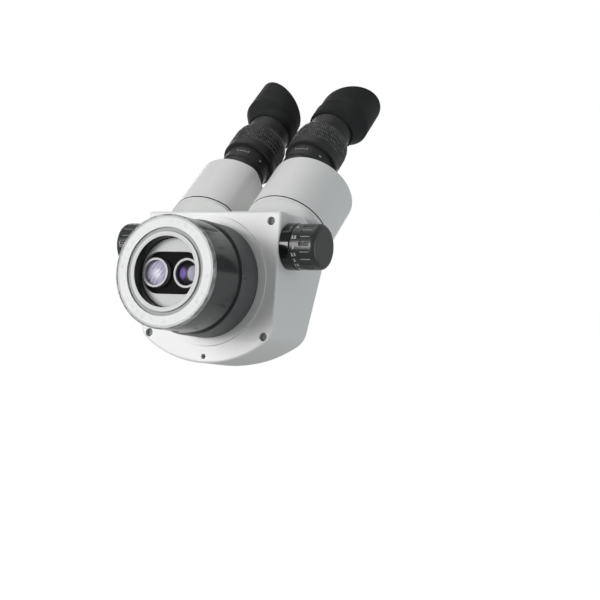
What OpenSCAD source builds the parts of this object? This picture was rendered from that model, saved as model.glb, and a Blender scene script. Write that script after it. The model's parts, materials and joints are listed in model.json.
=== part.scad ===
// Stereo microscope head with a ring light, modelled as an assembly.
// Z is the optical axis, the origin is on it at the shoulder that a holder's ring stops against.
// The objective end points down (-Z), the user sits on the -Y side, +X is the user's right.

/* [Body] */
// Width of the body across its side walls
body_w = 102; // [98:1:108]
// Distance from the optical axis to the front wall
body_front = 46.5; // [46:0.5:50]
// Distance from the optical axis to the middle of the curved back
body_back = 54.5; // [50:0.5:60]
// Radius of the curved back
back_arc_r = 78; // [70:1:90]
// Radius of the corners between the sides and the back
back_corner_r = 12; // [8:1:14]
// Wall thickness of the lower casting
wall = 4; // [3:0.5:5]
// Thickness of the floor
floor_t = 6; // [5:0.5:8]
// Height of the sloping top above the optical axis
top_z = 58.4; // [56:0.2:62]
// Fall of the top towards the back, in degrees
top_slope = 20; // [15:1:22]
// Thickness of the top panel
panel_t = 5; // [3:0.5:6]
// Radius of the rounded edge between top and back
top_back_r = 12; // [6:1:14]

/* [Bosses and prism housings] */
// Distance of each boss axis from the middle of the body
boss_x = 30.5; // [30.4:0.1:32]
// Position of the boss face along Y
boss_y = -39.3; // [-41:0.1:-38]
// Height of the boss face's centre
boss_z = 48; // [46:0.5:50]
// Tilt of the viewing axes from the vertical, in degrees
tilt = 45; // [43:1:47]
// Radius of the bosses and prism housings
boss_r = 30.2; // [29:0.1:30.3]
// Distance of the inner flat from the boss axis
boss_flat = 23; // [22:0.5:25]
// Thickness of the flange that each prism housing turns on
boss_flange_t = 3; // [2.5:0.1:4]
// Radius of the neck under the flange
boss_neck_r = 19.5; // [19:0.1:19.9]
// Length of the neck behind the boss face
boss_depth = 16; // [15:0.5:20]
// Length of the prism housing
housing_len = 45.7; // [42:0.5:50]
// Wall of the prism housing
housing_wall = 3.5; // [2.5:0.5:4]
// Radius of the pivot journal of a prism housing
journal_r = 14; // [13.5:0.1:14.4]
// Thickness of the inclined deck that carries the bosses
deck_t = 4; // [3:0.5:5]

/* [Eyepieces] */
// Sideways offset of the eyepiece axis towards the middle
eye_dx = 5.2; // [4.5:0.1:7]
// Offset of the eyepiece axis down the slope
eye_dy = 12.5; // [11:0.1:13]
// Radius of the eyepiece tube at the prism housing
eye_tube_r = 16; // [15:0.1:16.4]
// Length of the eyepiece tube outside the prism housing
eye_tube_len = 18; // [16:0.1:22]
// Radius of the knurled diopter ring
diopter_r = 19.4; // [18.6:0.1:20]
// Length of the diopter ring
diopter_len = 27; // [25:0.5:29]
// Radius of the eye lens barrel
eye_barrel_r = 15.4; // [14.6:0.1:15.8]
// Length of the eye lens barrel that shows below the eyecup
eye_barrel_show = 13.5; // [12:0.5:18]
// Travel of the eye lens barrel each way
diopter_travel = 2.5; // [1:0.5:3]
// Radius of the band of the eyecup that grips the barrel
cup_base_r = 17.3; // [16.9:0.1:18]
// Radius of the eyecup's shield
cup_rim_r = 19.8; // [19:0.1:21]
// Offset of the shield from the eyepiece axis, to its wing
cup_shift = 4; // [3:0.1:5]
// Turn of the right eyecup's wing up from the temple side
cup_turn_right = 12; // [-20:1:30]
// Turn of the left eyecup's wing up from the temple side
cup_turn_left = -30; // [-35:1:20]
// Height of the eyecup on the nose side
cup_low = 21; // [18:0.5:24]
// Height of the eyecup at its wing
cup_high = 39.5; // [32:0.5:44]
// Thickness of the eyecup's rubber
cup_wall = 1.8; // [1.4:0.1:2.4]

/* [Collar and ring light] */
// Radius of the mounting collar
collar_r = 38; // [37:0.5:38.5]
// Length of the mounting collar below the body
collar_len = 20.8; // [18:0.1:24]
// Width of the flange outside the collar
flange_w = 5.4; // [4:0.1:5.8]
// How far the collar flange stands below the body
flange_step = 1; // [0.5:0.1:2]
// Outer radius of the objective barrel
barrel_r = 27; // [26:0.5:28]
// Height of the lens plate's face below the body
plate_drop = 45; // [43:0.5:47]
// Outer radius of the ring light
light_r = 36.75; // [36:0.25:37]
// Height of the ring light's face below the body
light_drop = 53.8; // [52:0.1:58]
// Radius of the ring light's opening
light_bore_r = 22.6; // [21:0.1:23]
// Number of lamps in the ring light
led_count = 36; // [24:1:40]

/* [Zoom drive] */
// Position of the zoom shaft along Y
shaft_y = -25; // [-26:0.5:-24]
// Height of the zoom shaft
shaft_z = 15.5; // [14.5:0.5:16.5]
// Radius of the zoom shaft
shaft_r = 2.5; // [2:0.1:2.6]
// Radius of the fixed knob collars
knob_collar_r = 15.5; // [15.3:0.1:16.5]
// Thickness of the fixed knob collars
knob_collar_t = 7.7; // [5:0.1:9]
// Radius of the zoom knobs
knob_r = 15.1; // [14:0.1:15.2]
// Length of the zoom knobs
knob_len = 18; // [16:0.5:22]
// Number of flutes round a zoom knob
flute_count = 20; // [16:1:28]
// Distance between the two optical channels
channel_gap = 23.5; // [23.2:0.1:24]
// Radius of the objective lenses
objective_r = 8; // [7:0.1:8.4]

/* [Hidden] */
$fn = 64;
// Running clearance of a turning or sliding fit, on the radius
fit = 0.05;
// Clearance between pieces that are fastened together, on the radius
seat = 0.1;
// Visible gap between pieces that turn past each other
gap = 0.3;
// Overshoot of a cutting tool
cut = 1;
// Fineness of the lens faces
lens_facets = 240;
// Size of a block that stands for a half space
far = 200;

half_w = body_w / 2;
floor_top = flange_step + floor_t;
arc_cy = body_back - back_arc_r;
slope_tan = tan(top_slope);
plate_t = 3;

// Height of the flat part of the sloping top at a given Y
function top_at(y) = top_z - slope_tan * y;

// Lens plate, lens cells and barrel
barrel_wall = 2.5;
barrel_bore = barrel_r - barrel_wall;
barrel_flange_r = collar_r - 5.1;
barrel_flange_t = 5;
plate_r = light_bore_r - 0.3;
plate_back = -plate_drop + plate_t;
slot_h = 27;
slot_w = 2 * plate_r - 1.4;
slot_corner = 12;
cell_r = objective_r + 1.6;
cell_front = -plate_drop - 1;
cell_len = 10;
lens_t = 5;
barrel_end_t = 2.5;
lens_bulge = 1.6;
lens_sink = 1.2;

// Ring light
light_top = -collar_len - 0.5;
light_wall = 2;
rim_t = 3.8;
rim_in = light_r - 1.15;
diffuser_in = light_bore_r + 5.8;
groove_in = light_bore_r + 3.1;
groove_depth = 1.2;
board_t = 1.6;
ledge_t = 2;
led_r = 1.6;
led_h = 2;
led_inset = 3.6;
led_circle = rim_in - led_inset;
inlet_r = 3.6;
inlet_z = -(collar_len + light_drop) / 2;
inlet_face = light_r - 0.35;
inlet_len = inlet_face - barrel_r - seat - light_wall - gap;
inlet_floor = 1.5;
inlet_bore_r = 2.75;
inlet_pin_r = 1;
light_edge = -light_drop + rim_t;
rim_round = 0.6;
diffuser_sink = 0.4;

// Housing screws and their places
screw_x = half_w - 7;
screw_front_y = -body_front + 6.5;
screw_back_y = 35.7;
screw_head_r = 2.7;
screw_head_t = 3;
screw_recess = 2.5;
screw_z = flange_step + screw_recess;
screw_r = 2;
screw_socket_r = 1.6;
screw_socket_d = 1.8;
screw_front_top = 34;
screw_back_top = top_at(screw_back_y) - panel_t + 3;
pillar_r = 5.5;
flange_seat = 2;
flange_r = collar_r + flange_w;
spigot_out = collar_r - 2;
rear_screw_y = body_back - 4.3;
rear_screw_r = 1.7;
rear_screw_len = 4;
rear_screw_z = flange_step + 1;
set_screw_r = 1.5;
collar_screw_z = -collar_len + 3.6;
collar_screw_len = 4.5;

// Zoom drive
bush_r = 7;
bush_in = 4;
bush_out = 4;
gear_m = 0.5;
big_teeth = 20;
small_teeth = 14;
pinion_w = 5;
pinion_x = 6.2;
rack_t = 3;
rack_half = 12.5;
rack_back = shaft_y + (big_teeth / 2 + 1.15) * gear_m + rack_t;
carrier_r = barrel_bore - 0.8;
carrier_t = 6;
lower_z = -22;
upper_z = 0;
zoom_lens_r = 7.5;
zoom_lens_t = 3;
rod_r = 2;
rod_back_y = 18;
rod_front_y = -15.4;
guide_plate_z = 22;
guide_plate_t = 3;
guide_plate_r = 22;
prism_size = 18;
knob_start = half_w + knob_collar_t + gap;
knob_band = 6.4;
knob_round = 3.2;
flute_r = 1.6;
flute_d = 0.5;
flute_len = knob_len - knob_band - knob_round - 1;
rack_room = 0.5;
prism_back_y = 11;
knob_screw_len = 6;
shaft_end = knob_start + knob_len - 6;

// Prism housings and the gears that make them turn together
journal_len = boss_flange_t + deck_t;
cavity_r = boss_neck_r - 2.7;
flat_corner_r = 9;
seam = 0.6;
idler_teeth = 32;
pivot_teeth = 58;
pivot_m = 2 * boss_x / (pivot_teeth + 2 * idler_teeth);
idler_r = idler_teeth * pivot_m / 2;
gear_t = 3;
keeper_t = 1.5;
keeper_top = -journal_len - gap;
gear_top = keeper_top - keeper_t;
gear_bottom = gear_top - gear_t;
keeper_r = cavity_r - 0.8;
neck_r = 11;
pivot_flange_r = boss_r - housing_wall - 0.5;
pivot_flat = boss_flat - housing_wall - 0.5;
beam_r = 9;
idler_pin_r = 2;
idler_pin_end = 1;
idler_pin_len = -gear_bottom + idler_pin_end - boss_flange_t - 1;
idler_room = 0.8;
pivot_flange_t = 2;
housing_base = 4;
housing_end = 4;
eye_offset = norm([eye_dx, eye_dy]);
eye_angle = atan2(-eye_dy, -eye_dx);
prism_w = 18;
prism_h = 18;

// Eyepieces, heights along the viewing axis from the boss face
tube_top = housing_len + eye_tube_len;
tube_step = 6.3;
tube_scale_r = eye_tube_r + 0.8;
spigot_r = 13;
field_r = 10;
field_t = 3;
eye_neck_r = 12.3;
eye_neck_len = 18;
ring_bottom = tube_top + gap;
ring_top = ring_bottom + diopter_len;
ring_foot = 3;
diopter_taper = 7;
barrel_bottom = ring_bottom + ring_foot + diopter_travel + 1.2;
cup_bottom = ring_top + eye_barrel_show;
cup_grip = 3.3;
barrel_top = cup_bottom + cup_grip;
eye_lens_r = 12.2;
eye_lens_t = 6;
eye_lip = 2;
cup_lip = 1.8;
cup_band = 12;
cup_flare = 6.8;
cup_edge = 1;

// Shared shapes

// A straight tube that starts at z
module tube(r_out, r_in, z, h) {
    translate([0, 0, z])
        difference() {
            cylinder(r = r_out, h = h);
            translate([0, 0, -cut]) cylinder(r = r_in, h = h + 2 * cut);
        }
}

// A rod along X that starts at x
module x_rod(r, x, len) {
    translate([x, 0, 0]) rotate([0, 90, 0]) cylinder(r = r, h = len);
}

// Mirrors its children to the left side when side is -1
module on_side(side) {
    mirror([side < 0 ? 1 : 0, 0, 0]) children();
}

// Places children on a boss: local Z is the viewing axis, local Y points up the slope
module at_boss(side) {
    on_side(side) translate([boss_x, boss_y, boss_z]) rotate([tilt, 0, 0]) children();
}

// Places children on an eyepiece axis
module at_eye(side) {
    at_boss(side) translate([-eye_dx, -eye_dy, 0]) children();
}

// Outline of a gear: each tooth has straight flanks and some backlash
function gear_points(n, m, phase) = [
    for (i = [0 : n - 1], k = [0 : 3])
        let (quarter = 90 / n - 0.06 / (n * m / 2) * 57.3)
        let (share = [-1.42, -0.5, 0.5, 1.42][k])
        let (r = n * m / 2 + (k == 0 || k == 3 ? -1.15 * m : 0.8 * m))
        let (a = phase + i * 360 / n + share * quarter)
        [r * cos(a), r * sin(a)]
];

// A spur gear with a round bore
module gear(n, m, phase, bore, z, h) {
    translate([0, 0, z])
        difference() {
            linear_extrude(height = h) polygon(gear_points(n, m, phase));
            translate([0, 0, -cut]) cylinder(r = bore, h = h + 2 * cut);
        }
}

// Round bar with an inner flat and rounded corners, from z upwards
module d_bar(r, flat, z, h) {
    corner = flat_corner_r - boss_r + r;
    corner_x = corner - flat;
    corner_y = sqrt(pow(r - corner, 2) - pow(corner_x, 2));
    reach = 1.2 * r / (r - corner);
    translate([0, 0, z])
        linear_extrude(height = h)
            union() {
                intersection() {
                    circle(r = r);
                    polygon([[0, 0], [reach * corner_x, reach * corner_y], [reach * corner_x, far], [far, far],
                        [far, -far], [reach * corner_x, -far], [reach * corner_x, -reach * corner_y]]);
                }
                translate([-flat, -corner_y]) square([flat, 2 * corner_y]);
                for (s = [-1, 1])
                    translate([corner_x, s * corner_y]) circle(r = corner);
            }
}

// Body outline drawn in by inset, from z upwards
module body_block(inset, z, h) {
    side = half_w - inset;
    corner = back_corner_r - inset;
    corner_x = side - corner;
    corner_y = arc_cy + sqrt(pow(back_arc_r - back_corner_r, 2) - pow(half_w - back_corner_r, 2));
    reach = 1.1 * back_arc_r / (corner_y - arc_cy);
    translate([0, 0, z])
        linear_extrude(height = h)
            union() {
                translate([-side, -body_front + inset]) square([2 * side, body_front - inset + corner_y]);
                for (s = [-1, 1])
                    translate([s * corner_x, corner_y]) circle(r = corner);
                intersection() {
                    translate([0, arc_cy]) circle(r = back_arc_r - inset);
                    polygon([[0, arc_cy], [reach * corner_x, arc_cy + reach * (corner_y - arc_cy)],
                        [-reach * corner_x, arc_cy + reach * (corner_y - arc_cy)]]);
                }
            }
}

// Everything below the sloping top, drop lower, with the rounded edge towards the back
module under_top(drop) {
    round_r = top_back_r;
    edge_y = body_back - round_r + gap;
    slope_len = round_r / cos(top_slope);
    edge_z = top_at(edge_y) - slope_len;
    translate([0, 0, -drop])
        rotate([90, 0, 90]) translate([0, 0, -far / 2])
            linear_extrude(height = far) {
                polygon([[-far, -far], [edge_y, -far], [edge_y, edge_z],
                    [edge_y + round_r * sin(top_slope), edge_z + round_r * cos(top_slope)],
                    [-far, top_at(-far)]]);
                translate([-far, -far]) square([far + edge_y + round_r, far + edge_z]);
                translate([edge_y, edge_z]) circle(r = round_r + fit);
            }
}

// Everything behind a plane square to the viewing axes, at height s on them
module behind_face(s) {
    translate([0, boss_y, boss_z]) rotate([tilt, 0, 0])
        translate([-far / 2, -far / 2, s - far]) cube([far, far, far]);
}

// Body castings and their fasteners

// The four places of the housing screws
module at_screws() {
    for (sx = [-1, 1], y = [screw_front_y, screw_back_y])
        translate([sx * screw_x, y, 0]) children();
}

// Lower casting: floor and walls in one piece, open at the top
module main_housing() {
    color("white")
        difference() {
            union() {
                intersection() {
                    difference() {
                        body_block(0, flange_step, far);
                        body_block(wall, floor_top, far);
                    }
                    under_top(0);
                    behind_face(-boss_flange_t);
                }
                intersection() {
                    at_screws() cylinder(r = pillar_r, h = far);
                    under_top(panel_t);
                    behind_face(-journal_len);
                    body_block(cut, flange_step, far);
                }
            }
            for (side = [-1, 1]) {
                at_boss(side) translate([0, 0, -boss_depth - seat]) cylinder(r = boss_neck_r + seat, h = far);
                on_side(side) translate([0, shaft_y, shaft_z]) x_rod(bush_r + fit, half_w / 2, half_w);
            }
            at_screws() {
                translate([0, 0, -cut]) cylinder(r = screw_r + seat, h = far);
                translate([0, 0, -cut]) cylinder(r = screw_head_r + seat, h = cut + screw_z + screw_head_t);
            }
            translate([0, 0, -cut]) cylinder(r = flange_r + seat, h = cut + flange_step + flange_seat);
            translate([0, 0, -cut]) cylinder(r = spigot_out + seat, h = floor_top + 2 * cut);
            translate([0, rear_screw_y, -cut]) cylinder(r = rear_screw_r + fit, h = cut + rear_screw_z + rear_screw_len);
        }
}

// The flange of a boss, as wide as the prism housing on it
module boss_flange() {
    d_bar(boss_r, boss_flat, -boss_flange_t, boss_flange_t);
}

// Upper casting: the two bosses on their inclined deck and the sloping top panel
module upper_housing() {
    color("white")
        difference() {
            union() {
                for (side = [-1, 1])
                    at_boss(side) {
                        boss_flange();
                        translate([0, 0, -boss_depth]) cylinder(r = boss_neck_r, h = boss_depth);
                    }
                difference() {
                    intersection() {
                        body_block(wall + seat, floor_t, far);
                        under_top(0);
                        behind_face(-boss_flange_t);
                    }
                    intersection() {
                        under_top(panel_t);
                        behind_face(-journal_len);
                    }
                }
            }
            for (side = [-1, 1])
                at_boss(side) {
                    translate([0, 0, -boss_depth - cut]) cylinder(r = journal_r, h = far);
                    translate([0, 0, -far - journal_len]) cylinder(r = cavity_r, h = far);
                    translate([idler_r - boss_x, 0, gear_bottom - idler_room])
                        cylinder(r = idler_r + gear_m + idler_room, h = gear_t + 2 * idler_room);
                    translate([idler_r - boss_x, 0, gear_bottom - idler_pin_end])
                        cylinder(r = idler_pin_r + fit, h = idler_pin_len);
                }
            at_screws() cylinder(r = screw_r + seat, h = screw_back_top + gap);
        }
}

module housing_screws() {
    color("dimgray")
        for (sx = [-1, 1], place = [[screw_front_y, screw_front_top], [screw_back_y, screw_back_top]])
            translate([sx * screw_x, place[0], screw_z]) {
                difference() {
                    cylinder(r = screw_head_r, h = screw_head_t);
                    translate([0, 0, -cut]) cylinder(r = screw_socket_r, h = cut + screw_socket_d, $fn = 6);
                }
                cylinder(r = screw_r, h = place[1] - screw_z);
            }
}

module rear_set_screw() {
    color("dimgray")
        translate([0, rear_screw_y, rear_screw_z])
            difference() {
                cylinder(r = rear_screw_r, h = rear_screw_len);
                translate([0, 0, -cut]) cylinder(r = rear_screw_r / 2, h = cut + screw_socket_d, $fn = 6);
            }
}

module collar_flange() {
    color("white") tube(flange_r, spigot_out + seat, 0, flange_step + flange_seat);
}

module mounting_collar() {
    color("#3c3e40")
        difference() {
            rotate_extrude()
                polygon([[barrel_flange_r + fit, -collar_len], [collar_r, -collar_len], [collar_r, 0],
                    [spigot_out, 0], [spigot_out, floor_top], [barrel_flange_r + fit, floor_top]]);
            translate([0, 0, collar_screw_z]) x_rod(set_screw_r + fit, collar_r / 2, collar_r);
        }
}

module collar_set_screw() {
    color("dimgray")
        translate([0, 0, collar_screw_z])
            difference() {
                x_rod(set_screw_r, collar_r - gap - collar_screw_len, collar_screw_len);
                x_rod(set_screw_r / 2, collar_r - gap - screw_socket_d, screw_socket_d + cut);
            }
}

// Objective end

module objective_barrel() {
    color("#1a1a1a")
        difference() {
            rotate_extrude()
                polygon([[0, plate_back], [barrel_r, plate_back], [barrel_r, -barrel_flange_t],
                    [barrel_flange_r, -barrel_flange_t], [barrel_flange_r, 0], [barrel_r, 0],
                    [barrel_r, floor_top], [barrel_bore, floor_top], [barrel_bore, plate_back + barrel_end_t],
                    [0, plate_back + barrel_end_t]]);
            for (sx = [-1, 1])
                translate([sx * channel_gap / 2, 0, plate_back - cut])
                    cylinder(r = cell_r + fit, h = barrel_end_t + 2 * cut);
        }
}

module objective_plate() {
    inner_w = slot_w - 2 * slot_corner;
    inner_h = slot_h - 2 * slot_corner;
    color("lightgray")
        difference() {
            translate([0, 0, -plate_drop]) cylinder(r = plate_r, h = plate_t);
            translate([-slot_w / 2, -inner_h / 2, -plate_drop - cut]) cube([slot_w, inner_h, plate_t + 2 * cut]);
            translate([-inner_w / 2, -slot_h / 2, -plate_drop - cut]) cube([inner_w, slot_h, plate_t + 2 * cut]);
            for (sx = [-1, 1], sy = [-1, 1])
                translate([sx * inner_w / 2, sy * inner_h / 2, -plate_drop - cut])
                    cylinder(r = slot_corner, h = plate_t + 2 * cut);
        }
}

module objective_cell(side) {
    color("silver")
        on_side(side) translate([channel_gap / 2, 0, 0]) tube(cell_r, objective_r, cell_front, cell_len);
}

// A lens with one bulging face, from z upwards
module lens(r, t, bulge, z) {
    ball = (r * r + bulge * bulge) / (2 * bulge);
    translate([0, 0, z])
        intersection() {
            cylinder(r = r, h = t);
            translate([0, 0, ball]) sphere(r = ball, $fn = lens_facets);
        }
}

module objective_lens(side) {
    color("mediumpurple")
        on_side(side) translate([channel_gap / 2, 0, 0])
            lens(objective_r - fit, lens_t, lens_bulge, cell_front + lens_sink);
}

// Ring light

module ring_light_housing() {
    sleeve = barrel_r + seat;
    color("#2a2c2e")
        difference() {
            rotate_extrude()
                polygon([[sleeve, light_top], [light_r, light_top], [light_r, light_edge],
                    [light_r - light_wall, light_edge], [light_r - light_wall, light_top - light_wall],
                    [sleeve + light_wall, light_top - light_wall], [sleeve + light_wall, plate_back - ledge_t],
                    [light_bore_r + light_wall, plate_back - ledge_t], [light_bore_r + light_wall, light_edge],
                    [light_bore_r, light_edge], [light_bore_r, plate_back], [sleeve, plate_back]]);
            translate([0, light_r / 2, inlet_z]) rotate([-90, 0, 0])
                translate([0, 0, light_r / 2 - light_wall - cut]) cylinder(r = inlet_r + fit, h = light_r);
        }
}

module ring_light_rim() {
    color("gainsboro")
        rotate_extrude()
            polygon([[rim_in, light_edge], [light_r, light_edge], [light_r, -light_drop + rim_round],
                [light_r - rim_round, -light_drop], [rim_in, -light_drop]]);
}

module ring_light_diffuser() {
    color("whitesmoke") tube(rim_in - fit, diffuser_in, -light_drop + diffuser_sink, rim_t - diffuser_sink);
}

module ring_light_inner_ring() {
    face = -light_drop + diffuser_sink;
    color("white")
        rotate_extrude()
            polygon([[light_bore_r, light_edge], [diffuser_in - fit, light_edge], [diffuser_in - fit, face + groove_depth],
                [groove_in, face + groove_depth], [groove_in, face], [light_bore_r, face]]);
}

module led_board() {
    color("darkgreen")
        tube(light_r - light_wall - gap, light_bore_r + light_wall + gap, plate_back - ledge_t - board_t, board_t);
}

module leds() {
    color("lightyellow")
        for (i = [0 : led_count - 1])
            rotate([0, 0, i * 360 / led_count])
                translate([led_circle, 0, plate_back - ledge_t - board_t - led_h]) {
                    cylinder(r = led_r, h = led_h);
                    sphere(r = led_r);
                }
}

module dc_inlet() {
    color("black")
        translate([0, inlet_face - inlet_len, inlet_z]) rotate([-90, 0, 0]) {
            difference() {
                cylinder(r = inlet_r, h = inlet_len);
                translate([0, 0, inlet_floor]) cylinder(r = inlet_bore_r, h = inlet_len);
            }
            cylinder(r = inlet_pin_r, h = inlet_len - cut);
        }
}

// Zoom drive, fixed pieces

module guide_rods() {
    color("silver")
        for (y = [rod_back_y, rod_front_y])
            translate([0, y, plate_back + barrel_end_t])
                cylinder(r = rod_r, h = guide_plate_z + guide_plate_t - plate_back - barrel_end_t);
}

// Cut for a rack that passes a plate, at x, from z upwards
module rack_notch(x, z, h) {
    translate([x - pinion_w / 2 - rack_room, rack_back + rack_room - far, z])
        cube([pinion_w + 2 * rack_room, far, h]);
}

module guide_plate() {
    color("darkgray")
        difference() {
            translate([0, 0, guide_plate_z]) cylinder(r = guide_plate_r, h = guide_plate_t);
            for (y = [rod_back_y, rod_front_y])
                translate([0, y, guide_plate_z - cut]) cylinder(r = rod_r + fit, h = guide_plate_t + 2 * cut);
            for (sx = [-1, 1]) {
                translate([sx * channel_gap / 2, 0, guide_plate_z - cut])
                    cylinder(r = zoom_lens_r, h = guide_plate_t + 2 * cut);
                rack_notch(sx * pinion_x, guide_plate_z - cut, guide_plate_t + 2 * cut);
            }
        }
}

// Two right-angle prisms that turn the beams towards the bosses
module erecting_prisms() {
    bottom = guide_plate_z + guide_plate_t;
    color("lightcyan")
        for (sx = [-1, 1])
            translate([sx * channel_gap / 2, prism_back_y, bottom])
                rotate([90, 0, -90]) translate([0, 0, -prism_size / 2])
                    linear_extrude(height = prism_size)
                        polygon([[0, 0], [prism_size, 0], [prism_size, prism_size - 6], [prism_size - 6, prism_size]]);
}

module shaft_bushes() {
    color("goldenrod")
        for (side = [-1, 1])
            on_side(side) translate([0, shaft_y, shaft_z])
                difference() {
                    x_rod(bush_r, half_w - wall - bush_in, wall + bush_in + bush_out);
                    x_rod(shaft_r + fit, half_w / 2, half_w);
                }
}

module knob_collar(side) {
    color("#141414")
        on_side(side) translate([0, shaft_y, shaft_z])
            difference() {
                x_rod(knob_collar_r, half_w, knob_collar_t);
                x_rod(bush_r + fit, half_w - cut, bush_out + cut);
                x_rod(shaft_r + gap, half_w - cut, knob_collar_t + 2 * cut);
            }
}

// Zoom drive, turning pieces

module zoom_shaft() {
    color("silver") translate([0, shaft_y, shaft_z]) x_rod(shaft_r, -shaft_end, 2 * shaft_end);
}

module zoom_pinions() {
    color("goldenrod")
        for (place = [[-pinion_x, small_teeth], [pinion_x, big_teeth]])
            translate([place[0], shaft_y, shaft_z]) rotate([0, 90, 0])
                gear(place[1], gear_m, 90, shaft_r, -pinion_w / 2, pinion_w);
}

module zoom_knob(side) {
    end_x = knob_start + knob_len;
    flute_x = knob_start + knob_band;
    color("#2e3030")
        on_side(side) translate([0, shaft_y, shaft_z])
            difference() {
                rotate([0, 90, 0])
                    rotate_extrude()
                        union() {
                            polygon([[0, knob_start], [knob_r, knob_start], [knob_r, end_x - knob_round],
                                [knob_r - knob_round, end_x], [0, end_x]]);
                            translate([knob_r - knob_round, end_x - knob_round]) circle(r = knob_round);
                        }
                x_rod(shaft_r, knob_start - cut, shaft_end - knob_start + cut);
                for (i = [0 : flute_count - 1])
                    rotate([i * 360 / flute_count, 0, 0])
                        translate([0, 0, knob_r + flute_r - flute_d]) x_rod(flute_r, flute_x, flute_len);
                rotate([180, 0, 0]) translate([flute_x + flute_r, 0, knob_r - knob_screw_len - flute_d])
                    cylinder(r = set_screw_r + fit, h = knob_r);
            }
}

module knob_set_screws() {
    bottom = knob_r - knob_screw_len - flute_d;
    color("dimgray")
        for (side = [-1, 1])
            on_side(side) translate([knob_start + knob_band + flute_r, shaft_y, shaft_z])
                rotate([180, 0, 0]) translate([0, 0, bottom])
                    cylinder(r = set_screw_r, h = knob_screw_len - gap);
}

// Outline of a rack with a gap opposite the pinion, in Y and Z
function rack_points(teeth, bottom) =
    let (pitch = PI * gear_m)
    let (count = 2 * floor(rack_half / pitch))
    let (line = shaft_y + teeth * gear_m / 2)
    let (root = line + 1.15 * gear_m)
    let (tip = line - 0.8 * gear_m)
    let (back = root + rack_t)
    concat([[back, bottom], [root, bottom]],
        [for (i = [0 : count - 1], k = [0 : 3])
            let (middle = shaft_z + (i - count / 2 + 0.5) * pitch)
            [k == 0 || k == 3 ? root : tip, middle + [-1.36, -0.56, 0.56, 1.36][k] * (pitch / 4 - 0.06)]],
        [[root, shaft_z + rack_half], [back, shaft_z + rack_half]]);

// A lens carrier: a disc on the guide rods with a rack that rises from it
module zoom_carrier(z, teeth, rack_x, notch_x) {
    bottom = z - carrier_t / 2;
    color("#303030")
        difference() {
            union() {
                difference() {
                    translate([0, 0, bottom]) cylinder(r = carrier_r, h = carrier_t);
                    if (notch_x != 0) rack_notch(notch_x, bottom - cut, carrier_t + 2 * cut);
                    translate([rack_x - pinion_w / 2 - far, -far + shaft_y + teeth * gear_m / 2 + 1.15 * gear_m, bottom - cut])
                        cube([2 * far, far, carrier_t + 2 * cut]);
                }
                translate([rack_x - pinion_w / 2, 0, 0]) rotate([90, 0, 90])
                    linear_extrude(height = pinion_w) polygon(rack_points(teeth, bottom));
            }
            for (y = [rod_back_y, rod_front_y])
                translate([0, y, bottom - cut]) cylinder(r = rod_r + fit, h = carrier_t + 2 * cut);
            for (sx = [-1, 1])
                translate([sx * channel_gap / 2, 0, bottom - cut])
                    cylinder(r = zoom_lens_r, h = carrier_t + 2 * cut);
        }
}

module lower_zoom_carrier() {
    zoom_carrier(lower_z, small_teeth, -pinion_x, 0);
}

module upper_zoom_carrier() {
    zoom_carrier(upper_z, big_teeth, pinion_x, -pinion_x);
}

module zoom_lenses(z) {
    color("lightcyan")
        for (sx = [-1, 1])
            translate([sx * channel_gap / 2, 0, 0])
                lens(zoom_lens_r - fit, zoom_lens_t, 1, z - zoom_lens_t / 2);
}

// Gears that make the prism housings turn together

module idler_pins() {
    color("silver")
        for (side = [-1, 1])
            at_boss(side) translate([idler_r - boss_x, 0, gear_bottom - idler_pin_end])
                cylinder(r = idler_pin_r, h = idler_pin_len);
}

module idler_gear(side) {
    phase = side > 0 ? 180 / idler_teeth : 0;
    color("goldenrod")
        at_boss(side) translate([idler_r - boss_x, 0, 0])
            gear(idler_teeth, pivot_m, phase, idler_pin_r + fit, gear_bottom, gear_t);
}

// The geared flange that keeps a prism housing on its boss
module pivot_gear(side) {
    phase = side > 0 ? 0 : 180 / pivot_teeth;
    color("goldenrod")
        at_boss(side) {
            gear(pivot_teeth, pivot_m, phase, neck_r, gear_bottom, gear_t);
            tube(keeper_r, neck_r, gear_top, keeper_t);
        }
}

// The journal that a prism housing turns on
module pivot_ring(side) {
    color("darkgray")
        at_boss(side)
            difference() {
                union() {
                    translate([0, 0, keeper_top]) cylinder(r = journal_r - fit, h = housing_base + gap - keeper_top);
                    translate([0, 0, gear_bottom]) cylinder(r = neck_r, h = -gear_bottom);
                    d_bar(pivot_flange_r, pivot_flat, housing_base + gap, pivot_flange_t);
                }
                translate([0, 0, gear_bottom - cut]) cylinder(r = beam_r, h = far);
            }
}

module prism_housing(side) {
    color("#dfe1df")
        at_boss(side)
            difference() {
                d_bar(boss_r, boss_flat, seam, housing_len - seam);
                d_bar(boss_r - housing_wall, boss_flat - housing_wall, gap + housing_base,
                    housing_len - housing_end - housing_base - gap);
                translate([0, 0, -cut]) cylinder(r = journal_r, h = housing_base + gap + 2 * cut);
                translate([-eye_dx, -eye_dy, 0]) cylinder(r = spigot_r + fit, h = far);
            }
}

// A rhomboid prism that carries the beam from the boss axis to the eyepiece axis
module rhomboid_prism(side) {
    bottom = gap + housing_base + pivot_flange_t;
    half = prism_w / 2;
    color("lightcyan")
        at_boss(side) rotate([0, 0, eye_angle]) translate([0, half, bottom]) rotate([90, 0, 0])
            linear_extrude(height = prism_w)
                polygon([[-half, 0], [eye_offset - half, 0], [eye_offset - half + prism_h, prism_h],
                    [prism_h - half, prism_h]]);
}

// Eyepieces

module eyepiece_tube(side) {
    color("#161616")
        at_eye(side)
            rotate_extrude()
                polygon([[field_r, housing_len - housing_end], [spigot_r, housing_len - housing_end],
                    [spigot_r, housing_len], [eye_tube_r, housing_len], [eye_tube_r, housing_len + tube_step],
                    [tube_scale_r, housing_len + tube_step], [tube_scale_r, tube_top], [eye_neck_r, tube_top],
                    [eye_neck_r, tube_top + eye_neck_len], [field_r, tube_top + eye_neck_len]]);
}

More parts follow.
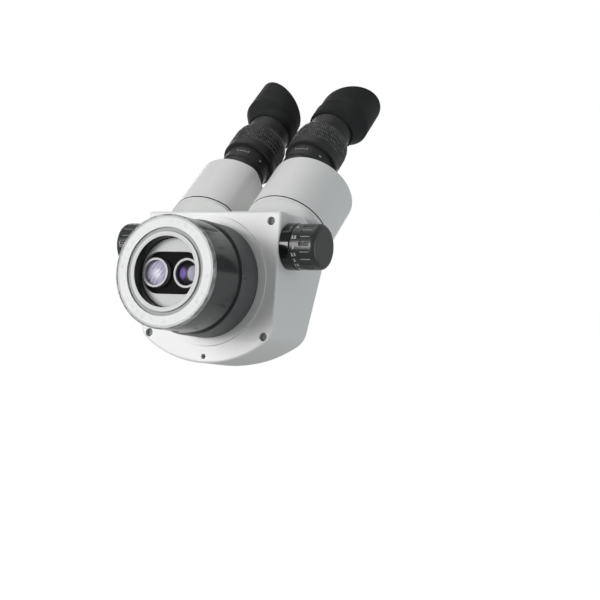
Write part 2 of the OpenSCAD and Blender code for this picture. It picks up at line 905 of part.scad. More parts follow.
module field_lens(side) {
    color("lightcyan") at_eye(side) lens(field_r, field_t, 1, tube_top - field_t);
}

module diopter_ring(side) {
    bore = eye_barrel_r + gap;
    color("#202020")
        at_eye(side)
            rotate_extrude()
                polygon([[eye_neck_r + fit, ring_bottom], [diopter_r - 0.6, ring_bottom], [diopter_r, ring_bottom + 0.6],
                    [diopter_r, ring_top - diopter_taper], [diopter_r - 1.5, ring_top], [bore, ring_top],
                    [bore, ring_bottom + ring_foot], [eye_neck_r + fit, ring_bottom + ring_foot]]);
}

module eye_barrel(side) {
    color("#161616")
        at_eye(side)
            rotate_extrude()
                polygon([[eye_neck_r + fit, barrel_bottom], [eye_barrel_r, barrel_bottom], [eye_barrel_r, barrel_top],
                    [eye_lens_r - eye_lip, barrel_top], [eye_lens_r - eye_lip, barrel_top - eye_lip],
                    [eye_neck_r + fit, barrel_top - eye_lip]]);
}

module eye_lens(side) {
    color("lightcyan") at_eye(side) lens(eye_lens_r, eye_lens_t, 1.5, barrel_top - eye_lip - eye_lens_t);
}

// Solid shape of the eyecup's shield drawn in by inset: a cone that opens into a round tube, set off to the wing
module cup_shield(inset, top) {
    foot = cup_rim_r - cup_flare;
    translate([cup_shift, 0, 0])
        rotate_extrude()
            polygon([[0, cup_bottom], [foot - inset, cup_bottom], [cup_rim_r - inset, cup_bottom + cup_band],
                [cup_rim_r - inset, top], [0, top]]);
}

// Rubber eyecup: a band that grips the barrel and a shield with a wing on the temple side
module eyecup(side) {
    top = cup_bottom + cup_high + cut;
    seat_top = barrel_top + gap + cup_lip;
    grip = eye_barrel_r + fit;
    lean = atan2(cup_high - cup_low, 2 * cup_rim_r);
    turn = side > 0 ? cup_turn_right : cup_turn_left;
    color("#333535")
        at_eye(side) rotate([0, 0, turn])
            difference() {
                union() {
                    rotate_extrude()
                        polygon([[0, cup_bottom], [cup_base_r - cup_edge, cup_bottom], [cup_base_r, cup_bottom + 2 * cup_edge],
                            [cup_base_r, cup_bottom + cup_band], [0, cup_bottom + cup_band]]);
                    cup_shield(0, top);
                }
                rotate_extrude()
                    polygon([[0, cup_bottom - cut], [grip, cup_bottom - cut], [grip, barrel_top + gap],
                        [eye_lens_r - eye_lip, barrel_top + gap], [eye_lens_r - eye_lip, seat_top + cut], [0, seat_top + cut]]);
                intersection() {
                    cup_shield(cup_wall, top + cut);
                    translate([-far / 2, -far / 2, seat_top]) cube([far, far, far]);
                }
                translate([cup_shift - cup_rim_r, 0, cup_bottom + cup_low]) rotate([0, -lean, 0])
                    translate([-far, -far / 2, 0]) cube([2 * far, far, far]);
            }
}

// What is drawn
main_housing();
upper_housing();
housing_screws();
rear_set_screw();
collar_flange();
mounting_collar();
collar_set_screw();
objective_barrel();
objective_plate();
objective_cell(-1);  // left_objective_cell
objective_cell(1);  // right_objective_cell
objective_lens(-1);  // left_objective_lens
objective_lens(1);  // right_objective_lens
ring_light_housing();
ring_light_rim();
ring_light_diffuser();
ring_light_inner_ring();
led_board();
leds();
dc_inlet();
guide_rods();
guide_plate();
erecting_prisms();
shaft_bushes();
knob_collar(-1);  // left_knob_collar
knob_collar(1);  // right_knob_collar
idler_pins();
zoom_shaft();
zoom_pinions();
zoom_knob(-1);  // left_zoom_knob
zoom_knob(1);  // right_zoom_knob
knob_set_screws();
lower_zoom_carrier();
zoom_lenses(lower_z);  // lower_zoom_lenses
upper_zoom_carrier();
zoom_lenses(upper_z);  // upper_zoom_lenses
idler_gear(-1);  // left_idler_gear
idler_gear(1);  // right_idler_gear
prism_housing(-1);  // left_prism_housing
prism_housing(1);  // right_prism_housing
pivot_ring(-1);  // left_pivot_ring
pivot_ring(1);  // right_pivot_ring
pivot_gear(-1);  // left_pivot_gear
pivot_gear(1);  // right_pivot_gear
rhomboid_prism(-1);  // left_rhomboid_prism
rhomboid_prism(1);  // right_rhomboid_prism
eyepiece_tube(-1);  // left_eyepiece_tube
eyepiece_tube(1);  // right_eyepiece_tube
field_lens(-1);  // left_field_lens
field_lens(1);  // right_field_lens
diopter_ring(-1);  // left_diopter_ring
diopter_ring(1);  // right_diopter_ring
eye_barrel(-1);  // left_eye_barrel
eye_barrel(1);  // right_eye_barrel
eye_lens(-1);  // left_eye_lens
eye_lens(1);  // right_eye_lens
eyecup(-1);  // left_eyecup
eyecup(1);  // right_eyecup
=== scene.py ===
# %% [markdown]
# # A stereo microscope head
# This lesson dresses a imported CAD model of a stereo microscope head. The solids already have the right sizes
# and places, so they are loaded first and never moved. Everything below is in metres, with Z along the optical
# axis, the objectives pointing down and the eyepieces towards -Y.

# %% Load the solids
import json
import math

import bmesh
import bpy
from mathutils import Matrix, Vector


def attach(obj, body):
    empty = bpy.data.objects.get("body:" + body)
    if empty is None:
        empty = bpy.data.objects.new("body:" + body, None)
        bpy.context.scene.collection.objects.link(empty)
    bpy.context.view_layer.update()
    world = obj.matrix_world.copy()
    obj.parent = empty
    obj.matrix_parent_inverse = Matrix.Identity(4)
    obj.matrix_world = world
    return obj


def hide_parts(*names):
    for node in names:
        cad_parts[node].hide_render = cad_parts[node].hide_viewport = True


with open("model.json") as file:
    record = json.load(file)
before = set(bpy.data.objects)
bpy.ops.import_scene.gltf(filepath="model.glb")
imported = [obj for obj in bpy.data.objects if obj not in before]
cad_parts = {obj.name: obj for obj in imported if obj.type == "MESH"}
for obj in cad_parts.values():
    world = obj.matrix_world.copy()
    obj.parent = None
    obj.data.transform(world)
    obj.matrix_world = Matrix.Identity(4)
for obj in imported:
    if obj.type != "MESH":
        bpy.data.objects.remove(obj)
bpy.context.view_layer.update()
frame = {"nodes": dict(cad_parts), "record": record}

MM = 0.001

# %% [markdown]
# ## The camera
# A product picture of such a head is often taken from below, so that the objectives and the ring light show.
# The camera stands about a metre away with a long lens. Its three directions are written out, because a
# camera that is aimed with a track constraint can't roll.

# %% Place the camera
SEEN_RIGHT = Vector((0.8828, -0.0684, 0.4648))
SEEN_DOWN = Vector((0.0251, 0.9948, 0.0988))
SEEN_AHEAD = Vector((-0.4691, -0.0756, 0.8799))
CAMERA_PLACE = Vector((0.52734, 0.08488, -0.85832))
IMAGE_SIZE = 600
FOCAL_PIXELS = 1526
SENSOR = 36

camera = bpy.data.objects.new("camera", bpy.data.cameras.new("camera"))
bpy.context.collection.objects.link(camera)
camera.data.sensor_width = SENSOR
camera.data.lens = FOCAL_PIXELS * SENSOR / IMAGE_SIZE
turn = Matrix((SEEN_RIGHT, -SEEN_DOWN, -SEEN_AHEAD)).transposed()
camera.matrix_world = Matrix.Translation(CAMERA_PLACE) @ turn.to_4x4()
bpy.context.scene.camera = camera
bpy.context.scene.view_settings.view_transform = "Standard"
print("lens in mm:", round(camera.data.lens, 2))

# %% [markdown]
# ## Shader maths as Python
# A finish is easier to read as a formula than as a net of nodes. `Wire` stands for one output of a node, and
# its operators add Math nodes. `Net` holds a material's or a world's nodes and makes any other node: the
# settings first, then the values or wires of its sockets.

# %% A wire and a net


class Wire:
    def __init__(self, net, socket):
        self.net = net
        self.socket = socket

    def pin(self, name):
        return Wire(self.net, self.socket.node.outputs[name])

    def math(self, operation, *others, swap=False):
        values = [*others, self] if swap else [self, *others]
        return self.net.node("ShaderNodeMath", {"operation": operation}, dict(enumerate(values)))

    def __add__(self, other):
        return self.math("ADD", other)

    __radd__ = __add__

    def __mul__(self, other):
        return self.math("MULTIPLY", other)

    __rmul__ = __mul__

    def __sub__(self, other):
        return self.math("SUBTRACT", other)

    def __rsub__(self, other):
        return self.math("SUBTRACT", other, swap=True)

    def __truediv__(self, other):
        return self.math("DIVIDE", other)

    def __gt__(self, other):
        return self.math("GREATER_THAN", other)

    def __lt__(self, other):
        return self.math("LESS_THAN", other)

    def band(self, low, high, soft):
        """1 between two values, and a soft step of the given width at both ends."""
        rise = self.ramp(low - soft / 2, low + soft / 2)
        return rise - self.ramp(high - soft / 2, high + soft / 2)

    def ramp(self, low, high):
        ends = {"Value": self, "From Min": low, "From Max": high}
        return self.net.node("ShaderNodeMapRange", {"interpolation_type": "SMOOTHSTEP"}, ends)


class Net:
    def __init__(self, owner):
        owner.use_nodes = True
        self.owner = owner
        self.tree = owner.node_tree
        self.tree.nodes.clear()

    def node(self, kind, settings=None, sockets=None):
        made = self.tree.nodes.new(kind)
        for key, value in (settings or {}).items():
            setattr(made, key, value)
        for key, value in (sockets or {}).items():
            if isinstance(value, Wire):
                self.tree.links.new(value.socket, made.inputs[key])
            else:
                made.inputs[key].default_value = value
        return Wire(self, made.outputs[0] if len(made.outputs) else None)

    def mix(self, share, first, second):
        made = self.node("ShaderNodeMix", {"data_type": "RGBA"}, {"Factor": share})
        for name, value in (("A", first), ("B", second)):
            socket = next(s for s in made.socket.node.inputs if s.name == name and s.type == "RGBA")
            if isinstance(value, Wire):
                self.tree.links.new(value.socket, socket)
            else:
                socket.default_value = (*value, 1)
        return Wire(self, next(s for s in made.socket.node.outputs if s.type == "RGBA"))


print("shader helpers ready")

# %% [markdown]
# ## Studio light
# The room is a pale, even box. Rays from the camera, and those that glass lets through, see plain white, so the
# picture gets its white ground from the room's colour and not from more light on the object. Mirrored rays see
# a grey room, which leaves the lamps as the only bright things in a glossy surface. The floor is far below,
# because the head hangs in a holder above the table and is seen from underneath.

# %% The room
ROOM_LIGHT = 0.26
ROOM_MIRRORED = 0.45
room = bpy.data.worlds.new("room")
bpy.context.scene.world = room
net = Net(room)
path = net.node("ShaderNodeLightPath")
sees_white = path.pin("Is Camera Ray").math("MAXIMUM", path.pin("Is Transmission Ray"))
mirrored = (path.pin("Is Glossy Ray") * ROOM_MIRRORED).math("MAXIMUM", ROOM_LIGHT)
level = sees_white.math("MAXIMUM", mirrored)
light = net.node("ShaderNodeBackground", {}, {"Color": (1, 1, 1, 1), "Strength": level})
net.node("ShaderNodeOutputWorld", {}, {"Surface": light})

# %% The floor
FLOOR_Z = -1.25
FLOOR_SIZE = 3.0
mesh = bmesh.new()
below = Matrix.Translation((0, 0, FLOOR_Z))
bmesh.ops.create_grid(mesh, x_segments=1, y_segments=1, size=FLOOR_SIZE, matrix=below)
floor_mesh = bpy.data.meshes.new("floor")
mesh.to_mesh(floor_mesh)
mesh.free()
floor = bpy.data.objects.new("floor", floor_mesh)
bpy.context.collection.objects.link(floor)
floor_finish = bpy.data.materials.new("floor_paper")
net = Net(floor_finish)
paper = net.node("ShaderNodeBsdfPrincipled", {}, {"Base Color": (0.85, 0.85, 0.84, 1), "Roughness": 0.8})
net.node("ShaderNodeOutputMaterial", {}, {"Surface": paper})
floor.data.materials.append(floor_finish)

# %% The lamps
LAMP_TARGET = Vector((0, -0.04, 0.03))


def soft_lamp(name, place, size, watts, tint=(1, 1, 1)):
    """A square lamp that faces the middle of the head."""
    lamp = bpy.data.objects.new(name, bpy.data.lights.new(name, "AREA"))
    lamp.data.size = size
    lamp.data.energy = watts
    lamp.data.color = tint
    lamp.visible_camera = False
    bpy.context.collection.objects.link(lamp)
    lamp.location = place
    aim = LAMP_TARGET - Vector(place)
    lamp.rotation_mode = "QUATERNION"
    lamp.rotation_quaternion = aim.to_track_quat("-Z", "Y")


soft_lamp("key_lamp", (-0.5, -0.06, -1.0), 0.5, 8.1)
soft_lamp("side_lamp", (1.05, 0.1, 0.1), 0.8, 2.9, (0.88, 0.95, 1))
soft_lamp("front_lamp", (-0.2, -1.1, 0.0), 0.8, 1.5)
soft_lamp("top_lamp", (-0.5, -0.3, 0.95), 0.9, 4)
soft_lamp("back_lamp", (0.1, 1.0, 0.8), 0.9, 0.3)
print("room and lamps ready")

# %% [markdown]
# ## Finishes
# Most finishes are named for what the maker did to the piece: powder coat on the castings, anodising on the
# turned pieces, moulded rubber on the eyecups. Some also carry painted shade or painted reflections, as said where
# they are made. All of them read Object coordinates, which are metres here, so a noise scale of 1500 means grains
# of about two thirds of a millimetre.

# %% A finish and its helpers
# The middle of the two inclined seats, in millimetres. They mirror each other in X.
SEAT_X, SEAT_Y, SEAT_Z = 30.5, -39.3, 48


class Finish(Net):
    def __init__(self, name):
        super().__init__(bpy.data.materials.new(name))
        self.where = self.node("ShaderNodeTexCoord").pin("Object")
        axes = self.node("ShaderNodeSeparateXYZ", {}, {"Vector": self.where})
        self.x, self.y, self.z = (axes.pin(name) for name in "XYZ")

    def clouds(self, scale, detail=3):
        """Cloudy grey around 0.5, with blobs about 1 / scale metres wide."""
        sockets = {"Vector": self.where, "Scale": scale, "Detail": detail}
        return self.node("ShaderNodeTexNoise", {}, sockets)

    def radius(self):
        """Distance from the optical axis."""
        return (self.x * self.x + self.y * self.y).math("SQRT")

    def angle(self):
        """Direction around the optical axis, in radians."""
        return self.y.math("ARCTAN2", self.x)

    def seat_height(self):
        """Distance along the eyepiece axis, from the plane of the two inclined seats."""
        return ((self.z - SEAT_Z * MM) - (self.y - SEAT_Y * MM)) * math.sqrt(0.5)

    def lathe_rings(self, along, pitch):
        """Fine ridges, as a turning tool leaves them, along a coordinate."""
        return (along * (2 * math.pi / pitch)).math("SINE") * 0.5 + 0.5

    def done(self, colour, roughness, metallic=0.0, height=None, depth=0.02 * MM, **fixed):
        sockets = {"Base Color": colour if isinstance(colour, Wire) else (*colour, 1)}
        sockets.update({"Roughness": roughness, "Metallic": metallic})
        if height is not None:
            bump = {"Height": height, "Distance": depth, "Strength": 1.0}
            sockets["Normal"] = self.node("ShaderNodeBump", {}, bump)
        sockets.update({name.replace("_", " "): value for name, value in fixed.items()})
        shader = self.node("ShaderNodeBsdfPrincipled", {}, sockets)
        self.node("ShaderNodeOutputMaterial", {}, {"Surface": shader})
        return self.owner


finishes = {}

# %% Powder coat and anodised metal
PAINT_DARK = (0.80, 0.81, 0.80)
PAINT_LIGHT = (0.86, 0.865, 0.86)
# The near black of the painted shade in the gaps where the prism housings stand on their seats.
PAINTED_SEAM_SHADE = (0.02, 0.02, 0.021)


def powder_coat(name, seam_shade=None):
    """White paint with a fine orange peel, and nearly black painted shade where the formula of a seam gives 1."""
    make = Finish(name)
    peel = make.clouds(1300, 2)
    shade = make.mix(make.clouds(18, 4), PAINT_DARK, PAINT_LIGHT)
    if seam_shade:
        shade = make.mix(seam_shade(make), shade, PAINTED_SEAM_SHADE)
    return make.done(shade, peel * 0.14 + 0.33, height=peel, depth=0.03 * MM, Coat_Weight=0.15)


finishes["white_paint"] = powder_coat("white_paint")
# Painted shade in the gap at each seat: the whole seat face and the foot of each housing are nearly black.
seat_coat_with_seam_shade = powder_coat("seat_coat_with_seam_shade", lambda make: make.seat_height() > -0.06 * MM)
housing_coat_with_seam_shade = powder_coat("housing_coat_with_seam_shade", lambda make: make.seat_height() < 0.7 * MM)

make = Finish("dark_anodised")
grain = make.clouds(2600, 2)
worn = make.clouds(60, 4)
shade = make.mix(worn, (0.085, 0.088, 0.09), (0.125, 0.128, 0.13))
rings = make.lathe_rings(make.z, 0.22 * MM)
finishes["dark_anodised"] = make.done(shade, grain * 0.2 + 0.38, 0.35, rings * 0.5 + grain * 0.5, 0.02 * MM)

make = Finish("black_metal")
grain = make.clouds(2400, 2)
worn = make.clouds(70, 4)
shade = make.mix(worn, (0.024, 0.025, 0.0245), (0.036, 0.037, 0.0365))
finishes["black_metal"] = make.done(shade, grain * 0.16 + 0.3, 0.0, grain, 0.015 * MM, Specular_IOR_Level=0.22)

make = Finish("pale_metal")
grain = make.clouds(1800, 3)
shade = make.mix(make.clouds(90), (0.44, 0.45, 0.45), (0.53, 0.535, 0.53))
finishes["pale_metal"] = make.done(shade, grain * 0.2 + 0.4, 0.15, grain, 0.02 * MM)

make = Finish("bright_metal")
rings = make.lathe_rings(make.z, 0.3 * MM)
shade = make.mix(make.clouds(400), (0.36, 0.36, 0.365), (0.45, 0.45, 0.455))
finishes["bright_metal"] = make.done(shade, make.clouds(900) * 0.15 + 0.45, 0.35, rings, 0.006 * MM)

make = Finish("dark_steel")
shade = make.mix(make.clouds(700), (0.16, 0.162, 0.165), (0.23, 0.232, 0.235))
finishes["dark_steel"] = make.done(shade, make.clouds(1500) * 0.2 + 0.5, 0.2)

make = Finish("brass")
shade = make.mix(make.clouds(500), (0.55, 0.38, 0.14), (0.72, 0.54, 0.25))
finishes["brass"] = make.done(shade, make.clouds(1200) * 0.2 + 0.2, 1.0)
print("metal finishes:", sorted(finishes))

# %% Glass, plastic and rubber
make = Finish("coated_glass")
# The base colour turns violet towards grazing angles: a painted reflection of the coating.
facing = make.node("ShaderNodeLayerWeight", {}, {"Blend": 0.35}).pin("Facing")
painted_coating_sheen = make.mix(facing, (0.035, 0.022, 0.075), (0.34, 0.22, 0.55))
coating = {"Coat_Weight": 1.0, "Coat_Roughness": 0.02, "IOR": 1.7}
finishes["coated_glass"] = make.done(painted_coating_sheen, make.clouds(200) * 0.04 + 0.03, **coating)

make = Finish("clear_glass")
shade = make.mix(make.clouds(120), (0.90, 0.94, 0.95), (0.95, 0.97, 0.97))
finishes["clear_glass"] = make.done(shade, make.clouds(300) * 0.03 + 0.02, IOR=1.52, Transmission_Weight=0.9)

make = Finish("gloss_black")
smear = make.clouds(40, 3)
shade = make.mix(smear, (0.046, 0.048, 0.049), (0.058, 0.06, 0.061))
finishes["gloss_black"] = make.done(shade, smear * 0.06 + 0.2, 0.3, Coat_Weight=0.25, Coat_Roughness=0.1)

make = Finish("clear_plastic")
streaks = make.clouds(180, 4).ramp(0.3, 0.7)
shade = make.mix(streaks, (0.17, 0.175, 0.18), (0.42, 0.43, 0.435))
gloss = {"Coat_Weight": 0.6, "Coat_Roughness": 0.05}
finishes["clear_plastic"] = make.done(shade, make.clouds(500) * 0.1 + 0.18, 0.2, **gloss)

make = Finish("pale_plastic")
grain = make.clouds(1600, 2)
shade = make.mix(make.clouds(80), (0.44, 0.45, 0.445), (0.52, 0.525, 0.52))
finishes["pale_plastic"] = make.done(shade, grain * 0.15 + 0.36, height=grain, depth=0.015 * MM)

make = Finish("circuit_board")
shade = make.mix(make.clouds(300), (0.72, 0.72, 0.69), (0.82, 0.82, 0.79))
finishes["circuit_board"] = make.done(shade, make.clouds(900) * 0.2 + 0.4)

make = Finish("led_plastic")
shade = make.mix(make.clouds(600), (0.88, 0.86, 0.66), (0.95, 0.94, 0.82))
finishes["led_plastic"] = make.done(shade, make.clouds(800) * 0.1 + 0.12, Coat_Weight=0.5)

make = Finish("knob_plastic")
grain = make.clouds(2300, 2)
shade = make.mix(make.clouds(60, 4), (0.028, 0.031, 0.03), (0.037, 0.04, 0.039))
finishes["knob_plastic"] = make.done(shade, grain * 0.1 + 0.23, height=grain, depth=0.012 * MM)

make = Finish("cup_rubber")
grain = make.clouds(1900, 3)
dust = make.clouds(45, 5)
shade = make.mix(dust.ramp(0.35, 0.75), (0.012, 0.013, 0.013), (0.024, 0.025, 0.025))
matt = {"height": grain, "depth": 0.05 * MM, "Specular_IOR_Level": 0.22}
finishes["cup_rubber"] = make.done(shade, grain * 0.2 + 0.55, **matt)
print("other finishes:", len(finishes))

# %% [markdown]
# ## The milky window of the ring light
# Behind the window sits a circle of small lamps. Unlit, they show only as faint smudges, so the window is one
# pale plastic with a soft grey mark over each lamp, broken up by streaks from the moulding, and a grey outer edge.

# %% The window's finish
LED_COUNT = 36
LED_CIRCLE = 32 * MM
LED_MARK = 1.5 * MM
WINDOW_EDGE = (33.9 * MM, 34.7 * MM)
make = Finish("diffuser_plastic")
step = 2 * math.pi / LED_COUNT
across = (make.angle() / step).math("FRACT") - 0.5
across = across * (step * LED_CIRCLE)
outward = make.radius() - LED_CIRCLE
near = (across * across + outward * outward).math("SQRT")
smudge = 1 - near.ramp(0.5 * LED_MARK, 1.5 * LED_MARK)
patchy = make.clouds(130, 3).ramp(0.46, 0.62)
streak = make.clouds(500, 4).ramp(0.5, 0.68)
shade = make.mix(make.clouds(60, 2), (0.56, 0.575, 0.565), (0.66, 0.67, 0.665))
shade = make.mix(smudge * patchy * (streak * 0.5 + 0.3), shade, (0.36, 0.375, 0.36))
edge = make.radius().ramp(*WINDOW_EDGE)
shade = make.mix(edge * 0.85, shade, (0.36, 0.37, 0.365))
gloss = {"Coat_Weight": 0.2, "Coat_Roughness": 0.1}
finishes["diffuser_plastic"] = make.done(shade, make.clouds(700) * 0.15 + 0.3, **gloss)

# %% [markdown]
# ## Coated objectives
# The two objectives don't look alike, because different reflections are painted on them. The left one shows a pale
# lilac field with slanting bars, the right one a dark pupil between a violet and a pale patch. Both are drawn from
# distances on the lens itself, so they stay on the glass when the view changes.

# %% Two lens finishes with painted reflections
LENS_X = 11.75 * MM
BAR_PITCH = 2.6 * MM
make = Finish("left_lens_reflection")
# Slanting bars of painted reflection on the left lens.
slant = (make.x * 0.8 + make.y * 0.6) + make.clouds(250, 2) * (2 * MM)
reflected_bars = (slant * (2 * math.pi / BAR_PITCH)).math("SINE").ramp(0.3, 0.9)
shade = make.mix(reflected_bars * make.clouds(160, 2).ramp(0.3, 0.58), (0.52, 0.49, 0.63), (0.2, 0.17, 0.28))
coating = {"Coat_Weight": 0.35, "Coat_Roughness": 0.2, "IOR": 1.5}
left_lens_reflection = make.done(shade, make.clouds(400) * 0.05 + 0.3, **coating)



def reflection_patch(make, centre_x, radius, soft):
    """1 inside a soft upright oval of painted reflection on the right lens, with sizes in millimetres."""
    across = make.x - (LENS_X + centre_x * MM)
    reach = (across * across + make.y * make.y * 0.5).math("SQRT")
    return 1 - reach.ramp((radius - soft) * MM, (radius + soft) * MM)


make = Finish("right_lens_reflection")
# A violet and a pale patch of painted reflection on each side of the dark pupil.
shade = make.mix(reflection_patch(make, -3.6, 2.4, 1.1), (0.012, 0.011, 0.016), (0.19, 0.12, 0.4))
shade = make.mix(reflection_patch(make, 3.6, 3.4, 0.5), shade, (0.44, 0.42, 0.52))
right_lens_reflection = make.done(shade, make.clouds(400) * 0.05 + 0.3, Specular_IOR_Level=0.15)
print("lens finishes:", left_lens_reflection.name, right_lens_reflection.name)

# %% Dress every solid
make = Finish("flat_black")
fuzz = make.clouds(1500, 3)
shade = make.mix(fuzz, (0.004, 0.004, 0.0042), (0.009, 0.009, 0.0092))
dull_black = make.done(shade, fuzz * 0.2 + 0.7, Specular_IOR_Level=0.15)

own_finish = {
    "left_objective_lens": left_lens_reflection, "right_objective_lens": right_lens_reflection,
    "objective_barrel": dull_black, "knob_set_screws": finishes["black_metal"],
}
slots = {part["node"]: part["material_slot"] for part in frame["record"]["subparts"]}
for name, solid in frame["nodes"].items():
    solid.data.materials.clear()
    solid.data.materials.append(own_finish.get(name, finishes[slots[name]]))
print("dressed solids:", len(slots))

# %% [markdown]
# ## Softening edges
# Castings and turned pieces never have razor edges. The solid itself is left alone: a copy is merged, its flat
# triangles are joined, and the sharp edges that a rule picks are bevelled. The copy then stands for the solid.
# Widths and the points that a rule gets are in millimetres.

# %% Copy, bevel, add
SHARP = math.radians(28)


def merged_copy(node):
    mesh = bmesh.new()
    mesh.from_mesh(frame["nodes"][node].data)
    bmesh.ops.remove_doubles(mesh, verts=mesh.verts, dist=0.001 * MM)
    bmesh.ops.dissolve_limit(mesh, angle_limit=math.radians(0.3), verts=mesh.verts, edges=mesh.edges)
    return mesh


def sharp_edges(mesh, rule=None):
    """Edges between faces that meet at an angle, where both ends obey the rule."""
    found = [e for e in mesh.edges if e.is_manifold and e.calc_face_angle() > SHARP]
    return [e for e in found if rule is None or all(rule(v.co / MM) for v in e.verts)]


def round_edges(mesh, edges, width, segments=3):
    bmesh.ops.bevel(mesh, geom=edges, offset=width * MM, offset_type="OFFSET", segments=segments,
                    profile=0.5, affect="EDGES", clamp_overlap=True, material=-1)


def add_piece(name, mesh, body, slot, stands_for=(), smooth=38, finish=None):
    data = bpy.data.meshes.new(name)
    mesh.to_mesh(data)
    mesh.free()
    data.polygons.foreach_set("use_smooth", [True] * len(data.polygons))
    data.set_sharp_from_angle(angle=math.radians(smooth))
    data.materials.append(finish or finishes[slot])
    piece = bpy.data.objects.new(name, data)
    bpy.context.collection.objects.link(piece)
    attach(piece, body)
    if stands_for:
        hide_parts(*stands_for)
        even = piece.modifiers.new("even_shading", "WEIGHTED_NORMAL")
        even.keep_sharp = True
    return piece


body_of = {n: body for body, nodes in frame["record"]["behaviour"]["bodies"].items() for n in nodes}


def soften(node, width, rule=None, segments=3, finish=None, smooth=38):
    mesh = merged_copy(node)
    edges = sharp_edges(mesh, rule)
    round_edges(mesh, edges, width, segments)
    piece = add_piece(node + "_soft", mesh, body_of[node], slots[node], [node], smooth, finish)
    print(node, "edges rounded:", len(edges), "faces:", len(piece.data.polygons))
    return piece


# %% [markdown]
# ## The castings
# The lower casting is a flat plate with walls, and the upper one closes it and carries two inclined seats. On the
# lower one, only the outline of the plate and the two front corners are rounded, so the screw holes keep their
# crisp rims. Its top edge at the back is already round in the solid. The line where that round meets the wall is
# kept sharp, because shading that is averaged across it would look wavy. On the upper one, only the rims of the
# seats are rounded. The prism housings are rounded where the eyepieces stand.

# %% Soften the castings
PLATE_HOLES = [(x, y) for x in (-44, 44) for y in (-40, 35.7)] + [(0, 50.2)]
SEAT_AXIS = Vector((0, -math.sqrt(0.5), math.sqrt(0.5)))
SEAT_SIDE = Vector((0, math.sqrt(0.5), math.sqrt(0.5)))
SEAT_MIDDLE = {"left": Vector((-SEAT_X, SEAT_Y, SEAT_Z)), "right": Vector((SEAT_X, SEAT_Y, SEAT_Z))}
HOLE_CLEARANCE = 3.2
PLATE_FACE_Z = 1.1
FLANGE_RADIUS = 43.8
CORNER_X, CORNER_Y = 50.9, -46.4
BACK_ROUND = 25 * MM
UPRIGHT = 0.01
RIM_HEIGHT, RIM_RADIUS = 20, 20


def plate_outline(p):
    clear = all(math.hypot(p.x - x, p.y - y) > HOLE_CLEARANCE for x, y in PLATE_HOLES)
    return p.z < PLATE_FACE_Z and math.hypot(p.x, p.y) > FLANGE_RADIUS and clear


def casting_edge(p):
    return plate_outline(p) or (abs(p.x) > CORNER_X and p.y < CORNER_Y)


def in_seat(p, side):
    """A point measured from the middle of an inclined seat: across, up and along its axis."""
    arm = p - SEAT_MIDDLE[side]
    return Vector((arm.x, arm.dot(SEAT_SIDE), arm.dot(SEAT_AXIS)))


def seat_edge(p):
    """The rims of both seats, which lie in one plane."""
    return in_seat(p, "left").z > -1


def housing_edge(side):
    """The rule for the rim of a prism housing at its eyepiece end, without the hole for the tube."""
    def rule(p):
        q = in_seat(p, side)
        return q.z > RIM_HEIGHT and math.hypot(q.x, q.y) > RIM_RADIUS
    return rule


casting = soften("main_housing", 2.3, casting_edge, 10, smooth=12)
mesh = bmesh.new()
mesh.from_mesh(casting.data)
for edge in mesh.edges:
    if edge.is_manifold and all(v.co.y > BACK_ROUND and v.co.z > BACK_ROUND for v in edge.verts):
        upright = [abs(f.normal.z) < UPRIGHT for f in edge.link_faces]
        edge.smooth = edge.smooth and upright[0] == upright[1]
mesh.to_mesh(casting.data)
mesh.free()
soften("upper_housing", 0.5, seat_edge, finish=seat_coat_with_seam_shade)
for side in ("left", "right"):
    soften(side + "_prism_housing", 1.6, housing_edge(side), 4, housing_coat_with_seam_shade)

# %% [markdown]
# ## Turned and moulded pieces
# Collars, tubes and rings come off a lathe with a small chamfer on each edge, and moulded rings have a small
# radius. One table gives the width of each, in millimetres.

# %% Soften the turned pieces
EDGE_WIDTHS = {
    "mounting_collar": 0.5, "collar_flange": 0.25, "ring_light_housing": 0.35, "ring_light_rim": 0.35,
    "ring_light_inner_ring": 0.3, "objective_plate": 0.25, "left_objective_cell": 0.2,
    "right_objective_cell": 0.2, "left_knob_collar": 0.8, "right_knob_collar": 0.8,
    "left_eyepiece_tube": 0.3, "right_eyepiece_tube": 0.3, "left_diopter_ring": 0.6,
    "right_diopter_ring": 0.6, "left_eye_barrel": 0.35, "right_eye_barrel": 0.35,
    "left_eyecup": 0.7, "right_eyecup": 0.7, "left_zoom_knob": 0.3, "right_zoom_knob": 0.3,
}
make = Finish("lacquered_collar")
smear = make.clouds(120, 3)
shade = make.mix(smear, (0.005, 0.0062, 0.006), (0.009, 0.0105, 0.01))
lacquer = make.done(shade, smear * 0.06 + 0.08)

RING_GROOVE = (25.7 * MM, 28.6 * MM)
RING_STEP = (23.6 * MM, 23.8 * MM)
RING_BORE = (22.7 * MM, 22.8 * MM)
make = Finish("moulded_ring")
# The groove and the narrow step are painted darker grey: painted shade in the groove and along the step.
groove_shade = make.radius().band(*RING_GROOVE, 0.3 * MM)
step = make.radius().band(*RING_STEP, 0.2 * MM)
bore = 1 - make.radius().ramp(*RING_BORE)
shade = make.mix(make.clouds(120), (0.56, 0.57, 0.565), (0.63, 0.635, 0.63))
shade = make.mix(groove_shade.math("MAXIMUM", step * 0.6), shade, (0.25, 0.26, 0.255))
shade = make.mix(bore, shade, (0.006, 0.006, 0.006))
ring_plastic = make.done(shade, make.clouds(900) * 0.15 + 0.32)

special = {"left_knob_collar": lacquer, "right_knob_collar": lacquer, "ring_light_inner_ring": ring_plastic}
GROOVE_MIDDLE = 27


def inside_groove(p):
    return math.hypot(p.x, p.y) < GROOVE_MIDDLE


for node, width in EDGE_WIDTHS.items():
    rule = inside_groove if node == "ring_light_inner_ring" else None
    soften(node, width, rule, finish=special.get(node))

